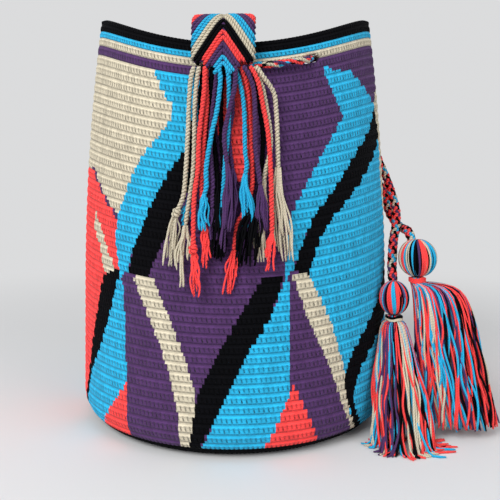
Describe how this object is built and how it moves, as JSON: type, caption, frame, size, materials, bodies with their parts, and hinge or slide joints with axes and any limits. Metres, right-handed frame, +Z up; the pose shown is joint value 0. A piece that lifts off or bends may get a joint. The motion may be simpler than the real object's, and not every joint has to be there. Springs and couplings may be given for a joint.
{
  "type": "wayuu mochila bag",
  "caption": "Crocheted cylinder shoulder bag in zigzag colour bands, with a plaited strap tucked inside, a drawstring through eyelets and hanging thread tassels.",
  "frame": {"origin": "centre of the flat underside of the bag's base, on the surface it stands on", "axes": "+Z up along the bag's axis; -Y is the front, where the strap's fringed end shows in the picture; the tassels hang at +X"},
  "size_m": [0.2908, 0.2375, 0.288],
  "materials": {
    "coral_yarn": "matt twisted yarn",
    "light_blue_yarn": "matt twisted yarn",
    "cream_yarn": "matt twisted yarn",
    "purple_yarn": "matt twisted yarn",
    "black_yarn": "matt twisted yarn",
    "crocheted_wall": "tight single crochet in five colours, matt",
    "plaited_strap": "flat plait of twisted cords in five colours, matt",
    "plaited_cord": "round plait of five colours of yarn, matt",
    "tassel_threads": "loose mixed threads in five colours, matt"
  },
  "bodies": {
    "root": {"bag_body": "crocheted_wall", "drawstring": "plaited_cord", "drawstring_tail_far": "plaited_cord", "drawstring_tail_near": "plaited_cord", "fringe_back_01": "cream_yarn", "fringe_back_02": "black_yarn", "fringe_back_03": "coral_yarn", "fringe_back_04": "purple_yarn", "fringe_back_05": "light_blue_yarn", "fringe_back_06": "cream_yarn", "fringe_back_07": "black_yarn", "fringe_back_08": "coral_yarn", "fringe_back_09": "purple_yarn", "fringe_back_10": "light_blue_yarn", "fringe_front_01": "cream_yarn", "fringe_front_02": "cream_yarn", "fringe_front_03": "light_blue_yarn", "fringe_front_04": "black_yarn", "fringe_front_05": "coral_yarn", "fringe_front_06": "coral_yarn", "fringe_front_07": "black_yarn", "fringe_front_08": "purple_yarn", "fringe_front_09": "black_yarn", "fringe_front_10": "light_blue_yarn", "fringe_front_11": "light_blue_yarn", "fringe_front_12": "purple_yarn", "fringe_front_13": "purple_yarn", "fringe_front_14": "light_blue_yarn", "fringe_front_15": "coral_yarn", "fringe_front_16": "purple_yarn", "fringe_front_17": "black_yarn", "fringe_front_18": "coral_yarn", "fringe_front_19": "cream_yarn", "fringe_front_20": "cream_yarn", "strap": "plaited_strap", "tassel_head_far": "tassel_threads", "tassel_head_near": "tassel_threads", "tassel_skirt_far": "tassel_threads", "tassel_skirt_near": "tassel_threads", "tassel_tie_far": "coral_yarn", "tassel_tie_near": "cream_yarn"}
  },
  "joints": []
}
